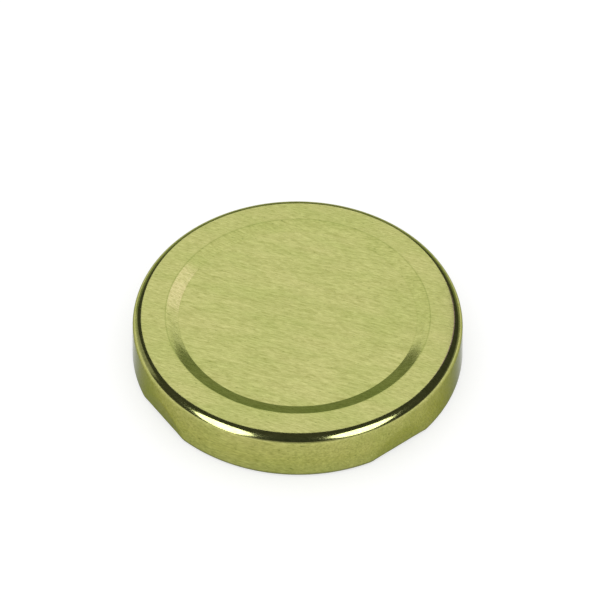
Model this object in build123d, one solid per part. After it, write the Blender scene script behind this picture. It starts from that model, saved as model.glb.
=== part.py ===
from build123d import *
import math
import os

# Driving dimensions, millimetres and degrees. The lid rests on its rolled rim at z = 0, top up.
rim_diameter = 66.0          # over the rolled rim, the widest place
lid_height = 10.0            # from the rim's underside to the top ring
sheet = 0.18                 # tinplate
rim_overhang = 0.5           # the rim stands out this far beyond the skirt's top
shoulder_radius = 1.9        # outside of the bend between top ring and skirt
shoulder_chords = 3          # chords for the shoulder's inner face, under the compound
top_ring_width = 6.5         # from the skirt's top in to where the ring turns down
step_run = 2.55              # slope from the top ring to the centre panel, seen from above
panel_recess = 1.0           # centre panel below the top ring

# Rolled rim: the sheet turns under, folds back up and ends beside the skirt. Radii are mid-sheet.
wall_end = 0.90              # height where the straight wall becomes rim
curl_bend = 0.60
curl_web = 0.06
curl_fold = 0.50
curl_tail = 0.25
fold_chords = 3              # chords for the fold's half circle, hidden inside the rim
bend_chords = 3              # chords for the rim's quarter bend

# Lugs: the wall is pressed flat along a chord, and the rim there is a flat folded tongue
lug_count = 4
first_lug_angle = -52.75     # from +X
lug_chord = 13.3             # straight stretch of the rim
lug_run = 3.8                # degrees over which the round curl opens to the tongue
lug_dent_top = 5.6           # height where the pressed wall meets the round skirt
lug_lift = 0.12              # underside of the tongue above the rim's underside
lug_bend = 0.50
lug_web = 1.35
lug_fold = 0.19
lug_tail = 0.75
lug_run_sections = 3         # profiles from the curl to the full tongue

# Sealing compound, flowed into the channel under the top ring
seal_inset = 0.8             # its inner edge outside the place where the ring turns down
seal_thickness = 0.85
seal_drop = 0.55             # how far it creeps down the shoulder below its flat face
seal_edge_slope = 0.4        # run of the slanted inner edge

# Values that follow from the driving dimensions
half_sheet = sheet / 2
rim_radius = rim_diameter / 2
skirt_top_diameter = rim_diameter - 2 * rim_overhang
step_outer_diameter = skirt_top_diameter - 2 * top_ring_width
step_inner_diameter = step_outer_diameter - 2 * step_run
skirt_end = lid_height - shoulder_radius
panel_top = lid_height - panel_recess
lug_half_angle = math.degrees(math.asin(lug_chord / 2 / rim_radius))
lug_pitch = 360 / lug_count
lug_angles = [first_lug_angle + i * lug_pitch for i in range(lug_count)]


def point(r, z):
    return Vector(r, z)


def bearing(degrees):
    """Unit vector of the sheet's run in a profile: -90 is straight down, -180 is inward."""
    angle = math.radians(degrees)
    return Vector(math.cos(angle), math.sin(angle))


def left_of(direction):
    return Vector(-direction.Y, direction.X)


def meridian(degrees):
    """Upright plane through the axis: its X is the radius and its Y the height."""
    angle = math.radians(degrees)
    return Plane(origin=(0, 0, 0), x_dir=(math.cos(angle), math.sin(angle), 0),
                 z_dir=(math.sin(angle), -math.cos(angle), 0))


def mix(start, end, share):
    return start + (end - start) * share


def ease(share):
    share = min(max(share, 0), 1)
    return share * share * (3 - 2 * share)


def skirt_flare():
    """Degrees off upright: the skirt runs from the shoulder's end tangent to the rim's bend."""
    top = point(skirt_top_diameter / 2 - half_sheet, skirt_end)
    bend_center = point(rim_radius - half_sheet - curl_bend, half_sheet + curl_bend)
    across = bend_center - top
    return math.degrees(math.atan2(across.X, -across.Y) + math.asin(curl_bend / across.length))


flare = skirt_flare()


def skirt_radius(z, offset):
    """Radius of the round skirt at height z; offset is from mid-sheet, positive outside."""
    middle = skirt_top_diameter / 2 - half_sheet + (skirt_end - z) * math.tan(math.radians(flare))
    return middle + offset / math.cos(math.radians(flare))


def cap_body(offset):
    """Solid bounded by the cap's upper face (or its lower face, one sheet in), down to the rim."""
    rise = math.atan2(panel_recess, step_run)
    depth = half_sheet - offset
    shift = depth * math.tan(rise / 2)
    bend_inset = (shoulder_radius - half_sheet) / math.cos(math.radians(flare))
    bend_center = point(skirt_radius(skirt_end, 0) - bend_inset, skirt_end)
    hidden = 0 if offset > 0 else shoulder_chords
    shoulder = round_stretch(bend_center, shoulder_radius - depth, 0, flare - 90, hidden)
    rest = Polyline(
        shoulder[-1] @ 1,
        point(skirt_radius(wall_end, offset), wall_end),
        point(0, wall_end),
        point(0, panel_top - depth),
        point(step_inner_diameter / 2 + shift, panel_top - depth),
        point(step_outer_diameter / 2 + shift, lid_height - depth),
        shoulder[0] @ 0,
    )
    outline = make_face([*shoulder, *rest.edges()])
    return press_lugs(revolve(Plane.XZ * outline, axis=Axis.Z), offset)


def press_lugs(body, offset):
    """Flatten the wall over each lug, from the chord at the rim up to the round skirt."""
    low = skirt_radius(wall_end, offset) * math.cos(math.radians(lug_half_angle))
    high = skirt_radius(lug_dent_top, offset)
    up_the_dent = Vector(high - low, lug_dent_top - wall_end).normalized()
    for angle in lug_angles:
        outward = Vector(1, 0, 0).rotate(Axis.Z, angle)
        normal = outward * up_the_dent.Y - Vector(0, 0, 1) * up_the_dent.X
        face = Plane(origin=outward * low + Vector(0, 0, wall_end), z_dir=normal)
        body = split(body, bisect_by=face, keep=Keep.BOTTOM)
    return body


def round_stretch(center, radius, start, end, chords):
    """Sheet face turning round a centre between two bearings: one true arc, or chords."""
    count = max(chords, 2)
    runs = [mix(start, end, i / count) for i in range(count + 1)]
    points = [center + left_of(bearing(run)) * radius for run in runs]
    if chords:
        return [Line(first, second) for first, second in zip(points, points[1:])]
    return [ThreePointArc(*points)]


def hem_side(squeeze, lean, lift, bend, web, fold, tail, offset):
    """One face of the sheet from the wall's end round the rim to the raw edge.

    squeeze scales the wall's radius, lean is the wall's slope off upright, offset is from mid-sheet.
    """
    center_height = lift + half_sheet + bend
    to_center = (wall_end - center_height) * math.tan(math.radians(lean))
    wall = skirt_radius(wall_end, 0) * squeeze
    bend_center = point(wall + to_center - bend / math.cos(math.radians(lean)), center_height)
    fold_center = point(bend_center.X - web, lift + half_sheet + fold)
    under = round_stretch(bend_center, bend + offset, lean - 90, -180, bend_chords)
    back = round_stretch(fold_center, fold + offset, -180, -360, fold_chords)
    wall_line = Line(point(skirt_radius(wall_end, offset) * squeeze, wall_end), under[0] @ 0)
    tail_line = Line(back[-1] @ 1, back[-1] @ 1 + Vector(tail, 0))
    return [wall_line, *under, Line(under[-1] @ 1, back[0] @ 0), *back, tail_line]


def hem_profile(**hem):
    outside = hem_side(offset=half_sheet, **hem)
    inside = hem_side(offset=-half_sheet, **hem)
    seam = Line(inside[0] @ 0, outside[0] @ 0)
    raw_edge = Line(outside[-1] @ 1, inside[-1] @ 1)
    return make_face([seam, *outside, raw_edge, *inside])


def round_curl(start):
    """The rolled rim between two lugs."""
    profile = hem_profile(squeeze=1, lean=flare, lift=0, bend=curl_bend, web=curl_web,
                          fold=curl_fold, tail=curl_tail)
    sweep_angle = lug_pitch - 2 * lug_half_angle
    return revolve(meridian(start) * profile, axis=Axis.Z, revolution_arc=sweep_angle)


def lug_section(turn):
    """Rim profile at an angle from the lug's middle, between round curl and flat tongue."""
    edge_distance = lug_half_angle - abs(turn)
    opened = ease(edge_distance / lug_run)
    chord = math.cos(math.radians(lug_half_angle)) / math.cos(math.radians(turn))
    return hem_profile(
        squeeze=chord,
        lean=mix(flare, 0, opened),
        lift=mix(0, lug_lift, opened),
        bend=mix(curl_bend, lug_bend, opened),
        web=mix(curl_web, lug_web, opened),
        fold=mix(curl_fold, lug_fold, opened),
        tail=mix(curl_tail, lug_tail, opened),
    )


def lug(middle):
    """The curl opening to the tongue, the straight tongue, and the same back to the curl."""
    steps = [lug_run * i / (lug_run_sections - 1) for i in range(lug_run_sections)]
    opening = [step - lug_half_angle for step in steps]
    closing = [-turn for turn in opening]

    def profiles(turns):
        return [meridian(middle + turn) * lug_section(turn) for turn in turns]

    tongue = loft(profiles([opening[-1], closing[-1]]), ruled=True)
    return [loft(profiles(opening), ruled=True), tongue, loft(profiles(closing), ruled=True)]


def lid_shell():
    shell = cap_body(half_sheet) - cap_body(-half_sheet)
    hem = []
    for angle in lug_angles:
        hem += [*lug(angle), round_curl(angle + lug_half_angle)]
    return shell.fuse(*hem)


def sealing_ring():
    """Compound with a level face in the channel, moulded to the shell's underside by the cut."""
    face_height = lid_height - sheet - seal_thickness
    inner = step_outer_diameter / 2 + seal_inset
    outline = Polyline(
        point(inner, lid_height),
        point(inner, lid_height - sheet),
        point(inner + seal_edge_slope, face_height),
        point(skirt_top_diameter / 2 - shoulder_radius, face_height),
        point(rim_radius, face_height - seal_drop),
        point(rim_radius, lid_height),
        close=True,
    )
    return revolve(Plane.XZ * make_face(outline), axis=Axis.Z) & cap_body(-half_sheet)


def main():
    os.makedirs("parts", exist_ok=True)
    export_step(lid_shell(), "parts/lid_shell.step")
    export_step(sealing_ring(), "parts/sealing_ring.step")


if __name__ == "__main__":
    main()
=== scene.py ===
import math

import bpy
from mathutils import Matrix, Quaternion, Vector


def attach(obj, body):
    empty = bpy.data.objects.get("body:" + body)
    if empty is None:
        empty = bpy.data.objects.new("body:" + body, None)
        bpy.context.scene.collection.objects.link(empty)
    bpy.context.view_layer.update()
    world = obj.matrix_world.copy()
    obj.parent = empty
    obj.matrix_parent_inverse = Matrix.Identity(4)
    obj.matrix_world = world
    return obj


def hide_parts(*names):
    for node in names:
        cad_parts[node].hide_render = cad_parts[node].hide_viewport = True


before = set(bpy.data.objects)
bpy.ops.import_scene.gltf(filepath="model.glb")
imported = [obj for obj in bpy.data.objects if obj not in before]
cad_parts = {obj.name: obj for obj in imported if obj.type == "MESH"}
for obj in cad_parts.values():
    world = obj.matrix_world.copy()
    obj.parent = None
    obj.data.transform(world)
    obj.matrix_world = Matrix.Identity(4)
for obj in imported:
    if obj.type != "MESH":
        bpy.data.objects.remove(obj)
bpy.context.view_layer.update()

MM = 0.001

# Sheet and outline of the lid, millimetres, the same driving sizes as the solid.
RIM_DIAMETER = 66.0
LID_HEIGHT = 10.0
SHEET = 0.18
RIM_OVERHANG = 0.5
SHOULDER_RADIUS = 1.9
TOP_RING_WIDTH = 6.5
STEP_RUN = 2.55
PANEL_RECESS = 1.0
STEP_SOFTNESS = 0.35         # radius of the two bends beside the step's slope

WALL_END = 0.90
CURL = dict(bend=0.60, web=0.06, fold=0.50, tail=0.25, lift=0.0)
TONGUE = dict(bend=0.50, web=1.35, fold=0.19, tail=0.75, lift=0.12)

LUG_COUNT = 4
FIRST_LUG_ANGLE = -52.75
LUG_CHORD = 13.3
LUG_RUN = 3.8
LUG_DENT_TOP = 5.6
DENT_SOFTNESS = 0.05         # how far the edge of the pressed flat is rounded over

SEAL_INSET = 0.8
SEAL_THICKNESS = 0.85
SEAL_DROP = 0.55
SEAL_EDGE_SLOPE = 0.4
SEAL_CLEARANCE = 0.01        # between the compound and the sheet it lies on
SEAL_SOFTNESS = 0.16         # radius of its lip and of its inner edge
SEAL_EDGE_NORMAL = 205       # degrees, where the lip rounds off the slanted edge

COLUMNS = 600                # meridians round the lid
SEAL_COLUMNS = 240
OUTSIDE_ROWS = dict(bend=5, wall=12, hem=9)
INSIDE_ROWS = dict(bend=3, wall=10, hem=6)
PANEL_ROWS, SLOPE_ROWS, RING_ROWS = 7, 3, 5
SHOULDER_TURNS = 5           # the shoulder has this many times the rows of a bend of the step
HEM_FLAT_ROWS = 3
SEAL_ROWS = dict(lip=6, face=6, meniscus=8, shoulder=14, under_ring=5, crest=5)

HALF = SHEET / 2
RIM_RADIUS = RIM_DIAMETER / 2
SKIRT_TOP = RIM_RADIUS - RIM_OVERHANG
STEP_OUTER = SKIRT_TOP - TOP_RING_WIDTH
STEP_INNER = STEP_OUTER - STEP_RUN
SKIRT_END = LID_HEIGHT - SHOULDER_RADIUS
PANEL_TOP = LID_HEIGHT - PANEL_RECESS
LUG_HALF_ANGLE = math.degrees(math.asin(LUG_CHORD / 2 / RIM_RADIUS))
LUG_PITCH = 360 / LUG_COUNT


def mix(start, end, share):
    return start + (end - start) * share


def ease(share):
    share = min(max(share, 0.0), 1.0)
    return share * share * (3 - 2 * share)


def soft_min(a, b, reach):
    """The smaller of two lengths, rounded over where they are nearly equal."""
    near = max(reach - abs(a - b), 0.0)
    return min(a, b) - near * near / (4 * reach)


def skirt_flare():
    across_r = (RIM_RADIUS - HALF - CURL["bend"]) - (SKIRT_TOP - HALF)
    across_z = SKIRT_END - (HALF + CURL["bend"])
    lean = math.asin(CURL["bend"] / math.hypot(across_r, across_z))
    return math.atan2(across_r, across_z) + lean


FLARE = skirt_flare()


def skirt_radius(z, offset):
    middle = SKIRT_TOP - HALF + (SKIRT_END - z) * math.tan(FLARE)
    return middle + offset / math.cos(FLARE)


SHOULDER_CENTER = (
    skirt_radius(SKIRT_END, 0) - (SHOULDER_RADIUS - HALF) / math.cos(FLARE),
    SKIRT_END,
)


def turn_from_lug(azimuth):
    """Degrees from the middle of the nearest lug."""
    return (azimuth - FIRST_LUG_ANGLE + LUG_PITCH / 2) % LUG_PITCH - LUG_PITCH / 2


def wall_radius(turn, z, offset):
    """Round skirt, or the flat pressed over a lug where that lies further in."""
    low = skirt_radius(WALL_END, offset) * math.cos(math.radians(LUG_HALF_ANGLE))
    high = skirt_radius(LUG_DENT_TOP, offset)
    rise = (z - WALL_END) / (LUG_DENT_TOP - WALL_END)
    flat = mix(low, high, rise) / math.cos(math.radians(turn))
    return soft_min(skirt_radius(z, offset), flat, DENT_SOFTNESS)


def arc(center, radius, start, end, count):
    """Points at radius from a centre; the angles are of the normal, 90 is straight up."""
    points = []
    for i in range(count + 1):
        angle = math.radians(mix(start, end, i / count))
        points.append((center[0] + radius * math.cos(angle), center[1] + radius * math.sin(angle)))
    return points


def spaced(start, end, count):
    """Points strictly between two others."""
    return [(mix(start[0], end[0], i / count), mix(start[1], end[1], i / count))
            for i in range(1, count)]


def crown(offset, fine):
    """Centre panel, step, top ring and shoulder as seen in a profile, from the axis outward."""
    slope = math.atan2(PANEL_RECESS, STEP_RUN)
    half_turn = math.tan(slope / 2)
    depth = HALF - offset
    bend = STEP_SOFTNESS - HALF
    foot = STEP_INNER + HALF * half_turn
    brow = STEP_OUTER + HALF * half_turn
    low_center = (foot - bend * half_turn, PANEL_TOP - HALF + bend)
    high_center = (brow + bend * half_turn, LID_HEIGHT - HALF - bend)
    tilt = math.degrees(slope)
    low = arc(low_center, bend - offset, -90, -90 + tilt, fine)
    high = arc(high_center, bend + offset, 90 + tilt, 90, fine)
    shoulder_rows = SHOULDER_TURNS * fine
    shoulder = arc(SHOULDER_CENTER, SHOULDER_RADIUS - depth, 90, math.degrees(FLARE), shoulder_rows)
    panel = spaced((0.0, PANEL_TOP - depth), low[0], PANEL_ROWS)
    ring = spaced(high[-1], shoulder[0], RING_ROWS)
    return [*panel, *low, *spaced(low[-1], high[0], SLOPE_ROWS), *high, *ring, *shoulder]


def wall(turn, offset, top, rows):
    """The skirt between the shoulder and the rim."""
    heights = [mix(top, WALL_END, i / rows) for i in range(1, rows + 1)]
    return [(wall_radius(turn, z, offset), z) for z in heights]


def hem(turn, offset, fine):
    """Round curl between the lugs, flat tongue at a lug, from the wall to the raw edge."""
    opened = ease((LUG_HALF_ANGLE - abs(turn)) / LUG_RUN)
    size = {key: mix(CURL[key], TONGUE[key], opened) for key in CURL}
    lean = mix(math.degrees(FLARE), 0, opened)
    squeeze = wall_radius(turn, WALL_END, 0) / skirt_radius(WALL_END, 0)
    height = size["lift"] + HALF + size["bend"]
    drift = (WALL_END - height) * math.tan(math.radians(lean))
    radius = skirt_radius(WALL_END, 0) * squeeze + drift
    bend_center = (radius - size["bend"] / math.cos(math.radians(lean)), height)
    fold_center = (bend_center[0] - size["web"], size["lift"] + HALF + size["fold"])
    under = arc(bend_center, size["bend"] + offset, lean, -90, fine)
    back = arc(fold_center, size["fold"] + offset, -90, -270, fine)
    end = (back[-1][0] + size["tail"], back[-1][1])
    web = spaced(under[-1], back[0], HEM_FLAT_ROWS)
    tail = spaced(back[-1], end, HEM_FLAT_ROWS)
    return [*under, *web, *back, *tail, end]


def shell_profile(azimuth):
    """Closed meridian of the sheet: out over the top, round the rim and back underneath."""
    turn = turn_from_lug(azimuth)

    def side(offset, rows):
        top = crown(offset, rows["bend"])
        return [*top, *wall(turn, offset, top[-1][1], rows["wall"]), *hem(turn, offset, rows["hem"])]

    return side(HALF, OUTSIDE_ROWS) + side(-HALF, INSIDE_ROWS)[::-1]


def seal_profile():
    """Meridian of the sealing compound: level face, slanted inner edge, a creep down the shoulder."""
    top = LID_HEIGHT - SHEET - SEAL_CLEARANCE
    face = LID_HEIGHT - SHEET - SEAL_THICKNESS
    inner = STEP_OUTER + SEAL_INSET
    radius = SHOULDER_RADIUS - SHEET - SEAL_CLEARANCE
    creep = math.degrees(math.asin((face - SEAL_DROP - SKIRT_END) / radius))
    against = arc(SHOULDER_CENTER, radius, 90, creep, SEAL_ROWS["shoulder"])
    soft = SEAL_SOFTNESS
    lip_center = (inner + SEAL_EDGE_SLOPE + soft, face + soft)
    lip = arc(lip_center, soft, SEAL_EDGE_NORMAL, 270, SEAL_ROWS["lip"])
    start = (SKIRT_TOP - SHOULDER_RADIUS, face)
    meniscus = []
    for i in range(1, SEAL_ROWS["meniscus"]):
        share = i / SEAL_ROWS["meniscus"]
        meniscus.append((mix(start[0], against[-1][0], share), face - SEAL_DROP * share * share))
    level = spaced(lip[-1], start, SEAL_ROWS["face"])
    crest = arc((inner + soft, top - soft), soft, 180, 90, SEAL_ROWS["crest"])
    under_ring = spaced(against[0], crest[-1], SEAL_ROWS["under_ring"])
    return [*lip, *level, start, *meniscus, *against[::-1], *under_ring, *crest[::-1]]


def link(name, mesh):
    piece = bpy.data.objects.new(name, mesh)
    bpy.context.scene.collection.objects.link(piece)
    return piece


def revolved(name, profiles, on_axis):
    """Closed mesh from one meridian a column. on_axis closes both ends on the centre line."""
    count, columns = len(profiles[0]), len(profiles)
    points, faces = [], []
    for column, profile in enumerate(profiles):
        angle = 2 * math.pi * column / columns
        points += [(r * math.cos(angle) * MM, r * math.sin(angle) * MM, z * MM) for r, z in profile]
    for column in range(columns):
        here, beside = column * count, (column + 1) % columns * count
        for row in range(count - 1 if on_axis else count):
            after = (row + 1) % count
            faces.append((here + row, here + after, beside + after, beside + row))
    if on_axis:
        for row, flip in ((0, False), (count - 1, True)):
            tip = len(points)
            points.append((0.0, 0.0, profiles[0][row][1] * MM))
            for column in range(columns):
                here, beside = column * count + row, (column + 1) % columns * count + row
                faces.append((tip, beside, here) if flip else (tip, here, beside))
    mesh = bpy.data.meshes.new(name)
    mesh.from_pydata(points, [], faces)
    mesh.polygons.foreach_set("use_smooth", [True] * len(mesh.polygons))
    mesh.validate()
    mesh.update()
    return link(name, mesh)


class Nodes:
    """A small hand for wiring the node tree of a material or of the world."""

    def __init__(self, owner):
        owner.use_nodes = True
        self.owner = owner
        self.tree = owner.node_tree
        self.shader = self.tree.nodes.get("Principled BSDF")

    def add(self, kind, **values):
        node = self.tree.nodes.new(kind)
        for key, value in values.items():
            setattr(node, key, value)
        return node

    def join(self, source, target):
        self.tree.links.new(source, target)

    def noise(self, place, scale, detail, roughness=0.5):
        node = self.add("ShaderNodeTexNoise")
        node.inputs["Scale"].default_value = scale
        node.inputs["Detail"].default_value = detail
        node.inputs["Roughness"].default_value = roughness
        self.join(place, node.inputs["Vector"])
        return node.outputs["Fac"]

    def stretched(self, turn, scale):
        """Object place turned about Z and scaled, in millimetres."""
        where = self.add("ShaderNodeTexCoord")
        mapping = self.add("ShaderNodeMapping", vector_type="TEXTURE")
        mapping.inputs["Rotation"].default_value = (0, 0, math.radians(turn))
        mapping.inputs["Scale"].default_value = [MM * size for size in scale]
        self.join(where.outputs["Object"], mapping.inputs["Vector"])
        return mapping.outputs["Vector"]

    def ramp(self, value, stops):
        node = self.add("ShaderNodeValToRGB")
        ends = node.color_ramp.elements
        while len(ends) < len(stops):
            ends.new(0.5)
        for end, (place, colour) in zip(ends, stops):
            end.position = place
            end.color = (*colour, 1)
        self.join(value, node.inputs["Fac"])
        return node.outputs["Color"]

    def blend(self, share, first, second, kind="MIX"):
        node = self.add("ShaderNodeMix", data_type="RGBA", blend_type=kind)
        if isinstance(share, float):
            node.inputs[0].default_value = share
        else:
            self.join(share, node.inputs[0])
        for socket, value in ((node.inputs[6], first), (node.inputs[7], second)):
            if isinstance(value, tuple):
                socket.default_value = (*value, 1)
            else:
                self.join(value, socket)
        return node.outputs[2]

    def math(self, kind, *values):
        node = self.add("ShaderNodeMath", operation=kind)
        for socket, value in zip(node.inputs, values):
            if isinstance(value, (int, float)):
                socket.default_value = value
            else:
                self.join(value, socket)
        return node.outputs[0]


# Rolled grain: the size of its marks along it, across it and upward, millimetres.
GRAIN_TURN = -18             # degrees from +X
STREAKS = (1.45, 0.26, 0.4)
STROKES = (5.5, 0.65, 1.2)
HAIR = (0.8, 0.10, 0.3)
DRIFT = (13.0, 5.0, 9.0)
SPECKS = (0.9, 0.32, 0.5)
STROKES_SHARE = 0.18         # of the long strokes in the tone, the rest is the short streaks

LACQUER_DARK, LACQUER_LIGHT = (0.335, 0.346, 0.090), (0.667, 0.666, 0.259)
PLAIN = (1.0, 1.0, 1.0)      # a tint that changes nothing
FLAT_TOP = 0.9               # share of the rim's radius within which the top has the plain tint

# Painted shade on the wall by height, as a share of the lid's: the wall is darker and richer in hue
# towards the rim, standing in for the shadowed floor it mirrors, darkest in the fold under the rim.
WALL_PAINTED_SHADE = [
    (0.04, (0.28, 0.30, 0.26)), (0.065, (0.40, 0.42, 0.36)), (0.10, (0.62, 0.645, 0.49)),
    (0.40, (0.68, 0.69, 0.485)), (0.86, (0.74, 0.735, 0.60)), (0.945, PLAIN),
]


def lacquered_tinplate():
    """Gold-green lacquer over rolled tinplate: fine grain along the sheet, drifts and specks, with
    painted shade on the wall and along the step.
    """
    made = Nodes(bpy.data.materials.new("lacquered_tinplate"))

    def marks(size, detail, roughness=0.5):
        return made.noise(made.stretched(GRAIN_TURN, size), 1.0, detail, roughness)

    streaks = marks(STREAKS, 4.0, 0.66)
    strokes = marks(STROKES, 2.0)
    hair = marks(HAIR, 3.0, 0.6)
    drift = marks(DRIFT, 2.0)
    specks = marks(SPECKS, 1.0)
    short = made.math("MULTIPLY", streaks, 1 - STROKES_SHARE)
    grain = made.math("ADD", short, made.math("MULTIPLY", strokes, STROKES_SHARE))
    tone = made.ramp(grain, [(0.28, LACQUER_DARK), (0.72, LACQUER_LIGHT)])
    warm = made.ramp(drift, [(0.32, (0.935, 0.97, 0.895)), (0.68, (1.06, 1.035, 1.08))])
    body = made.blend(1.0, tone, warm, "MULTIPLY")
    where = made.add("ShaderNodeTexCoord")
    parts = made.add("ShaderNodeSeparateXYZ")
    made.join(where.outputs["Object"], parts.inputs["Vector"])
    square = made.math("MULTIPLY", parts.outputs["X"], parts.outputs["X"])
    square = made.math("MULTIPLY_ADD", parts.outputs["Y"], parts.outputs["Y"], square)
    out = made.math("DIVIDE", made.math("SQRT", square), RIM_RADIUS * MM)
    on_top = made.math("LESS_THAN", out, FLAT_TOP)
    # Painted shade by height: the wall darkens towards the rim, and the flat top keeps its own tone.
    level = made.math("MAXIMUM", made.math("DIVIDE", parts.outputs["Z"], LID_HEIGHT * MM), on_top)
    body = made.blend(1.0, body, made.ramp(level, WALL_PAINTED_SHADE), "MULTIPLY")
    # Painted shade along the step: a fine darker line at each of its two bends, and the slope between
    # them faintly darker.
    foot, brow = STEP_INNER / RIM_RADIUS, STEP_OUTER / RIM_RADIUS
    foot_painted_line, brow_painted_line = (0.88, 0.90, 0.82), (0.70, 0.75, 0.60)
    step_painted_shade = made.ramp(out, [
        (foot - 0.004, PLAIN), (foot + 0.001, foot_painted_line), (foot + 0.006, (0.97, 0.985, 0.95)),
        (brow - 0.005, (0.96, 0.98, 0.93)), (brow + 0.001, brow_painted_line), (brow + 0.006, PLAIN),
    ])
    body = made.blend(1.0, body, step_painted_shade, "MULTIPLY")
    fleck = made.ramp(specks, [(0.22, (0.56, 0.60, 0.48)), (0.32, PLAIN)])
    made.join(made.blend(0.9, body, fleck, "MULTIPLY"), made.shader.inputs["Base Color"])
    made.join(made.math("MULTIPLY_ADD", hair, 0.10, 0.08), made.shader.inputs["Roughness"])
    bump = made.add("ShaderNodeBump")
    bump.inputs["Strength"].default_value = 0.22
    bump.inputs["Distance"].default_value = 0.00002
    relief = made.math("ADD", streaks, made.math("MULTIPLY", hair, 0.5))
    made.join(relief, bump.inputs["Height"])
    made.join(bump.outputs["Normal"], made.shader.inputs["Normal"])
    made.shader.inputs["Metallic"].default_value = 1.0
    made.shader.inputs["Specular Tint"].default_value = (0.36, 0.38, 0.28, 1)
    made.shader.inputs["Coat Weight"].default_value = 0.22
    made.shader.inputs["Coat Roughness"].default_value = 0.07
    made.shader.inputs["Coat IOR"].default_value = 1.5
    return made.owner


def sealing_compound():
    """Pale moulded compound: matt, faintly mottled, with flow marks and tiny pits."""
    made = Nodes(bpy.data.materials.new("sealing_compound"))
    mottle = made.noise(made.stretched(0, (2.6, 2.6, 2.6)), 1.0, 3.0)
    pits = made.noise(made.stretched(0, (0.22, 0.22, 0.22)), 1.0, 2.0)
    tone = made.ramp(mottle, [(0.30, (0.560, 0.545, 0.470)), (0.70, (0.660, 0.645, 0.565))])
    made.join(tone, made.shader.inputs["Base Color"])
    bump = made.add("ShaderNodeBump")
    bump.inputs["Strength"].default_value = 0.25
    bump.inputs["Distance"].default_value = 0.00003
    made.join(made.math("ADD", mottle, made.math("MULTIPLY", pits, 0.4)), bump.inputs["Height"])
    made.join(bump.outputs["Normal"], made.shader.inputs["Normal"])
    made.shader.inputs["Roughness"].default_value = 0.48
    made.shader.inputs["Specular IOR Level"].default_value = 0.45
    return made.owner


lid = revolved(
    "tinplate_shell",
    [shell_profile(360 * column / COLUMNS) for column in range(COLUMNS)],
    on_axis=True,
)
lid.data.materials.append(lacquered_tinplate())
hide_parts("lid_shell")
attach(lid, "root")

seal = revolved("compound_ring", [seal_profile()] * SEAL_COLUMNS, on_axis=False)
seal.data.materials.append(sealing_compound())
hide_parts("sealing_ring")
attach(seal, "root")


# Studio, in metres: a white floor in a dim room that is paler near the horizon, and soft lamps.
FLOOR_SIZE = 4.0
FLOOR_DROP = 0.00002         # under the rim
FLOOR_GREY = 0.52
FLOOR_GLOW = 0.57            # brings the lit grey up to white


def white_floor():
    """White to the camera and in the metal alike, with the object's shadow left in it."""
    made = Nodes(bpy.data.materials.new("white_floor"))
    made.shader.inputs["Base Color"].default_value = (FLOOR_GREY, FLOOR_GREY, FLOOR_GREY, 1)
    made.shader.inputs["Roughness"].default_value = 0.9
    made.shader.inputs["Specular IOR Level"].default_value = 0.0
    rays = made.add("ShaderNodeLightPath")
    seen = made.math("MAXIMUM", rays.outputs["Is Camera Ray"], rays.outputs["Is Glossy Ray"])
    seen = made.math("MAXIMUM", seen, rays.outputs["Is Transmission Ray"])
    glow = made.add("ShaderNodeEmission")
    glow.inputs["Color"].default_value = (1, 1, 1, 1)
    both = made.add("ShaderNodeAddShader")
    made.join(made.math("MULTIPLY", seen, FLOOR_GLOW), glow.inputs["Strength"])
    made.join(made.shader.outputs[0], both.inputs[0])
    made.join(glow.outputs[0], both.inputs[1])
    made.join(both.outputs[0], made.tree.nodes["Material Output"].inputs["Surface"])
    return made.owner


# How steeply the border between the room's dim and pale parts rises behind and ahead.
BORDER_BEHIND, BORDER_AHEAD = -0.38, 0.36


def room():
    """The same room for the camera and the metal. Matt surfaces are lit evenly by plain white."""
    made = Nodes(bpy.data.worlds.new("studio"))
    where = made.add("ShaderNodeTexCoord")
    parts = made.add("ShaderNodeSeparateXYZ")
    made.join(where.outputs["Generated"], parts.inputs["Vector"])
    behind = made.math("MAXIMUM", parts.outputs["Y"], 0.0)
    ahead = made.math("MINIMUM", made.math("ADD", parts.outputs["Y"], 0.5), 0.0)
    height = made.math("MULTIPLY_ADD", behind, BORDER_BEHIND, parts.outputs["Z"])
    height = made.math("MULTIPLY_ADD", ahead, BORDER_AHEAD, height)
    depth = made.math("MULTIPLY_ADD", parts.outputs["Y"], 0.5, 0.5)
    low = made.ramp(depth, [
        (0.06, (0.60, 0.60, 0.60)), (0.25, (0.38, 0.38, 0.37)),
        (0.65, (0.35, 0.36, 0.33)), (0.92, (0.30, 0.345, 0.22)),
    ])
    high = made.ramp(depth, [(0.15, (0.042, 0.048, 0.045)), (0.45, (0.060, 0.064, 0.058))])
    overhead = made.ramp(made.math("ADD", height, 0.5), [(0.47, (0, 0, 0)), (0.65, (1, 1, 1))])
    seen = made.blend(overhead, low, high)
    rays = made.add("ShaderNodeLightPath")
    shade = made.blend(rays.outputs["Is Diffuse Ray"], seen, PLAIN)
    background = made.tree.nodes["Background"]
    made.join(shade, background.inputs["Color"])
    background.inputs["Strength"].default_value = 1.0
    return made.owner


half_floor = FLOOR_SIZE / 2
floor_mesh = bpy.data.meshes.new("floor")
floor_mesh.from_pydata(
    [(x * half_floor, y * half_floor, -FLOOR_DROP) for x, y in ((-1, -1), (1, -1), (1, 1), (-1, 1))],
    [], [(0, 1, 2, 3)],
)
floor = link("floor", floor_mesh)
floor.data.materials.append(white_floor())

bpy.context.scene.world = room()


LAMP_DISTANCE = 1.0
COOL_WHITE = (0.80, 0.84, 1.0)
PINKISH = (0.60, 0.36, 1.0)
CARD_HEIGHT = 0.085
CARD_LEFT, CARD_RIGHT = -0.053, 0.043
CARD_NEAR, CARD_MIDDLE, CARD_FAR = 0.018, 0.036, 0.140
LEFT_SLOPE = (-0.026, 0.007, 0.0095)     # the place on the step that mirrors the back right light
BACK_RIGHT = (0.065, 0.115, 0.149)


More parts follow.
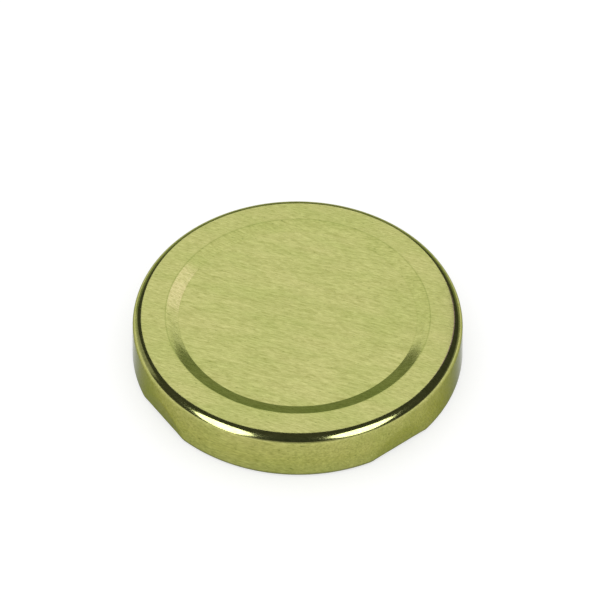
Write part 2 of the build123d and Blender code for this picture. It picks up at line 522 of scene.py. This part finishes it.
def soft_light(name, shape, place, facing, width, height, radiance, roll=0, tint=PLAIN):
    """Area light, rolled about its own axis. Radiance is what a mirror shows of it."""
    share = math.pi / 4 if shape == "ELLIPSE" else 1
    data = bpy.data.lights.new(name, "AREA")
    data.shape = shape
    data.size, data.size_y = width, height
    data.energy = radiance * math.pi * width * height * share
    data.color = tint
    lamp = bpy.data.objects.new(name, data)
    bpy.context.scene.collection.objects.link(lamp)
    lamp.location = place
    lamp.rotation_mode = "QUATERNION"
    aimed = (Vector(place) - Vector(facing)).to_track_quat("Z", "Y")
    lamp.rotation_quaternion = aimed @ Quaternion((0, 0, 1), math.radians(roll))
    lamp.visible_camera = False
    lamp.visible_diffuse = False


def softbox(name, azimuth, elevation, wide, high, radiance, roll=0, tint=PLAIN):
    """Round-edged light far off, its size in degrees. Azimuth 0 is behind, 90 to the right."""
    a, e = math.radians(azimuth), math.radians(elevation)
    toward = Vector((math.sin(a) * math.cos(e), math.cos(a) * math.cos(e), math.sin(e)))
    width = 2 * LAMP_DISTANCE * math.tan(math.radians(wide / 2))
    height = 2 * LAMP_DISTANCE * math.tan(math.radians(high / 2))
    place = toward * LAMP_DISTANCE
    soft_light(name, "ELLIPSE", place, (0, 0, 0), width, height, radiance, roll, tint)


def card(name, near, far, radiance):
    """Sheet of light lying level over the lid and the floor behind it."""
    x, y = (CARD_LEFT + CARD_RIGHT) / 2, (near + far) / 2
    width, height = CARD_RIGHT - CARD_LEFT, far - near
    soft_light(name, "RECTANGLE", (x, y, CARD_HEIGHT), (x, y, 0), width, height, radiance)


card("card_whole", CARD_NEAR, CARD_FAR, 0.95)
card("card_far_part", CARD_MIDDLE, CARD_FAR, 0.14)
softbox("front_left", -133, 34.5, 30, 60, 5.0, roll=16, tint=COOL_WHITE)
softbox("front_right", 137, 40, 31, 50, 5.0, roll=-20, tint=COOL_WHITE)
soft_light("back_right", "ELLIPSE", BACK_RIGHT, LEFT_SLOPE, 0.018, 0.054, 0.78, roll=32, tint=PINKISH)
softbox("side_left", -66, 16, 36, 42, 0.30)


# Camera at the photograph's place: 48 degrees above the horizon, on a long lens.
FOCAL_PIXELS = 1719
SENSOR = 36.0
FRAME_PIXELS = 600
CAMERA_PLACE = (0.0004, -0.2301, 0.2572)
CAMERA_PITCH = 46.68
CAMERA_ROLL = -0.59

camera_data = bpy.data.cameras.new("camera")
camera_data.sensor_width = SENSOR
camera_data.lens = FOCAL_PIXELS * SENSOR / FRAME_PIXELS
camera_data.clip_start, camera_data.clip_end = 0.01, 20
camera = bpy.data.objects.new("camera", camera_data)
bpy.context.scene.collection.objects.link(camera)
pitch, roll = math.radians(CAMERA_PITCH), math.radians(CAMERA_ROLL)
ahead = Vector((0, math.cos(pitch), -math.sin(pitch)))
level_right = Vector((1, 0, 0))
level_up = Vector((0, math.sin(pitch), math.cos(pitch)))
right = level_right * math.cos(roll) - level_up * math.sin(roll)
up = level_right * math.sin(roll) + level_up * math.cos(roll)
turned = Matrix((right, up, -ahead)).transposed().to_4x4()
camera.matrix_world = Matrix.Translation(CAMERA_PLACE) @ turned
bpy.context.scene.camera = camera
bpy.context.scene.view_settings.view_transform = "Standard"

bpy.context.view_layer.update()
